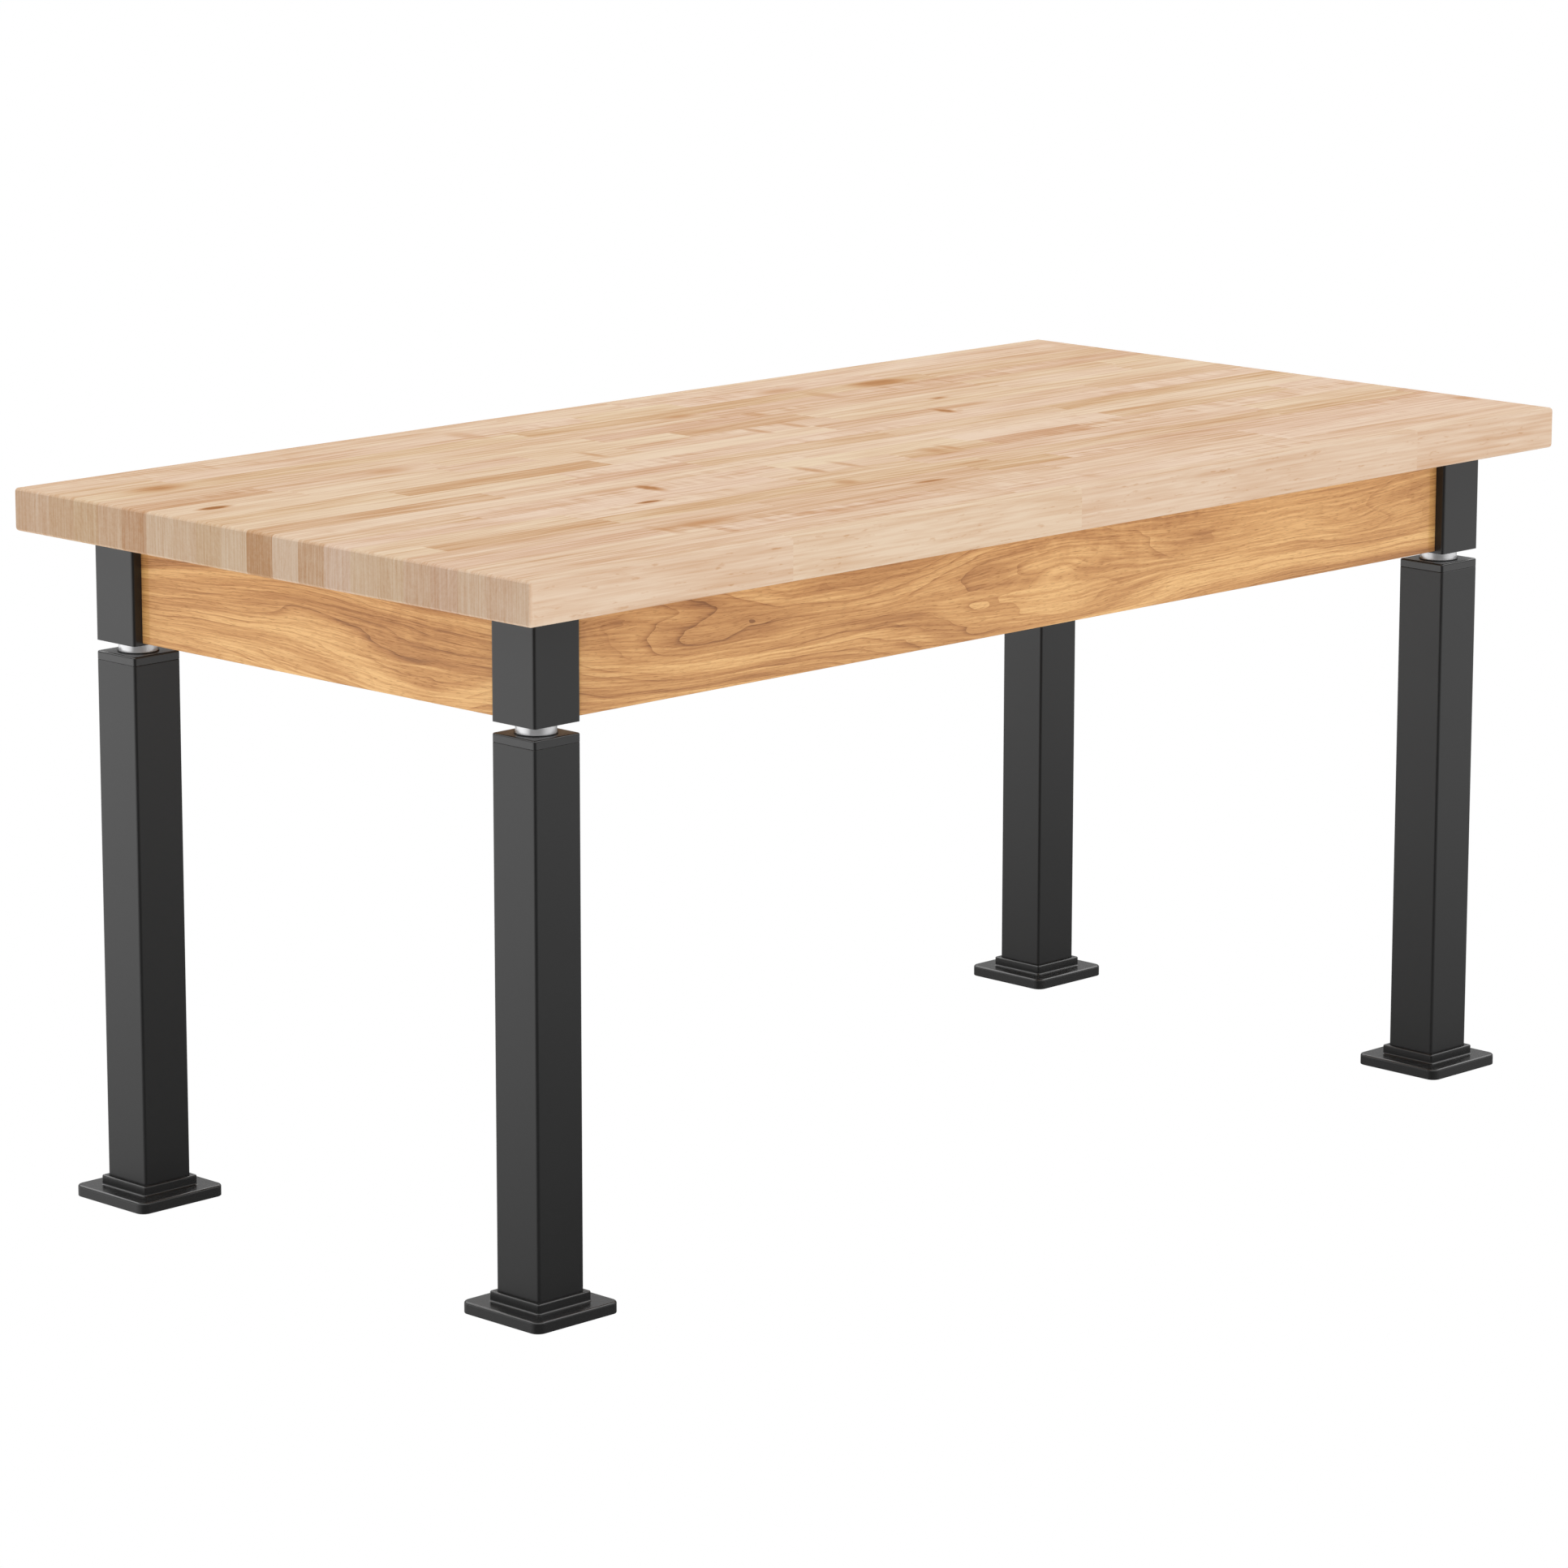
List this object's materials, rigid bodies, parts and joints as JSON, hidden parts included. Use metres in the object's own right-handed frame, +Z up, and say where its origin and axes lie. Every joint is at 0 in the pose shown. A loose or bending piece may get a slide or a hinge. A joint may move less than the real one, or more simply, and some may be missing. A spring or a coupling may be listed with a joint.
{
  "type": "butcher block table",
  "caption": "Height-adjustable butcher block table: laminated maple top, wooden aprons and square steel legs that telescope on chrome columns.",
  "frame": {"origin": "centre of the table's footprint, at the floor", "axes": "+X along the table's length, +Y from its front to its back, +Z up through the work surface"},
  "size_m": [1.524, 0.762, 0.738],
  "materials": {
    "maple_top": "satin oiled edge-grain maple staves, random lengths",
    "apron_wood": "satin golden hardwood with bold long grain",
    "black_powder_coat": "satin black powder coat with fine texture",
    "black_gloss": "smooth semi-gloss black",
    "chrome_column": "polished hard chrome",
    "dark_rubber": "smooth wiper rubber",
    "slide_plastic": "natural bearing plastic",
    "bare_steel": "ground steel",
    "pump_aluminium": "machined aluminium",
    "hose_plastic": "black polyamide",
    "grip_plastic": "moulded black"
  },
  "bodies": {
    "table": {"butcher_block_top": "maple_top", "apron_front": "apron_wood", "apron_back": "apron_wood", "apron_left": "apron_wood", "apron_right": "apron_wood", "sleeve_front_left": "black_powder_coat", "sleeve_front_right": "black_powder_coat", "sleeve_back_left": "black_powder_coat", "sleeve_back_right": "black_powder_coat", "column_front_left": "chrome_column", "column_front_right": "chrome_column", "column_back_left": "chrome_column", "column_back_right": "chrome_column", "column_head_plates": "bare_steel", "column_sliders": "slide_plastic", "cylinder_barrels": "bare_steel", "cylinder_heads": "pump_aluminium", "cylinder_glands": "bare_steel", "corner_gussets": "black_powder_coat", "stiffening_rails": "black_powder_coat", "apron_brackets": "black_powder_coat", "apron_screws": "bare_steel", "frame_screws": "bare_steel", "pump_mount_plate": "black_powder_coat", "pump_head": "pump_aluminium", "pump_barrels": "pump_aluminium", "pump_end_plate": "pump_aluminium", "pump_guide_rods": "bare_steel", "hydraulic_hoses": "hose_plastic", "hose_clips": "hose_plastic"},
    "leg_front_left": {"leg_tube_front_left": "black_powder_coat", "leg_cap_front_left": "black_gloss", "guide_bush_front_left": "slide_plastic", "wiper_ring_front_left": "dark_rubber", "piston_rod_front_left": "bare_steel", "foot_front_left": "black_gloss"},
    "leg_front_right": {"leg_tube_front_right": "black_powder_coat", "leg_cap_front_right": "black_gloss", "guide_bush_front_right": "slide_plastic", "wiper_ring_front_right": "dark_rubber", "piston_rod_front_right": "bare_steel", "foot_front_right": "black_gloss"},
    "leg_back_left": {"leg_tube_back_left": "black_powder_coat", "leg_cap_back_left": "black_gloss", "guide_bush_back_left": "slide_plastic", "wiper_ring_back_left": "dark_rubber", "piston_rod_back_left": "bare_steel", "foot_back_left": "black_gloss"},
    "leg_back_right": {"leg_tube_back_right": "black_powder_coat", "leg_cap_back_right": "black_gloss", "guide_bush_back_right": "slide_plastic", "wiper_ring_back_right": "dark_rubber", "piston_rod_back_right": "bare_steel", "foot_back_right": "black_gloss"},
    "crosshead": {"pump_crosshead": "bare_steel", "pump_pistons": "bare_steel"},
    "crank": {"lead_screw": "bare_steel", "crank_arm": "black_powder_coat", "crank_pin": "bare_steel"},
    "grip": {"crank_grip": "grip_plastic"}
  },
  "joints": [
    {"name": "leg_front_left_slide", "type": "slide", "parent": "table", "child": "leg_front_left", "axis": [0, 0, -1], "range_m": [0, 0.305]},
    {"name": "leg_front_right_slide", "type": "slide", "parent": "table", "child": "leg_front_right", "axis": [0, 0, -1], "range_m": [0, 0.305]},
    {"name": "leg_back_left_slide", "type": "slide", "parent": "table", "child": "leg_back_left", "axis": [0, 0, -1], "range_m": [0, 0.305]},
    {"name": "leg_back_right_slide", "type": "slide", "parent": "table", "child": "leg_back_right", "axis": [0, 0, -1], "range_m": [0, 0.305]},
    {"name": "crosshead_slide", "type": "slide", "parent": "table", "child": "crosshead", "axis": [0, -1, 0], "range_m": [0, 0.1525]},
    {"name": "crank_turn", "type": "hinge", "parent": "table", "child": "crank", "pos_m": [0, 0.33, 0.612], "axis": [0, 1, 0], "range_deg": [0, 6863.5]},
    {"name": "grip_spin", "type": "hinge", "parent": "crank", "child": "grip", "pos_m": [0, 0.355, 0.68], "axis": [0, 1, 0], "continuous": true}
  ],
  "couplings": [
    {"joint": "leg_front_right_slide", "follows": "leg_front_left_slide", "ratio": 1},
    {"joint": "leg_back_left_slide", "follows": "leg_front_left_slide", "ratio": 1},
    {"joint": "leg_back_right_slide", "follows": "leg_front_left_slide", "ratio": 1},
    {"joint": "crosshead_slide", "follows": "leg_front_left_slide", "ratio": 0.5},
    {"joint": "crank_turn", "follows": "leg_front_left_slide", "rad_per_m": 392.7}
  ]
}
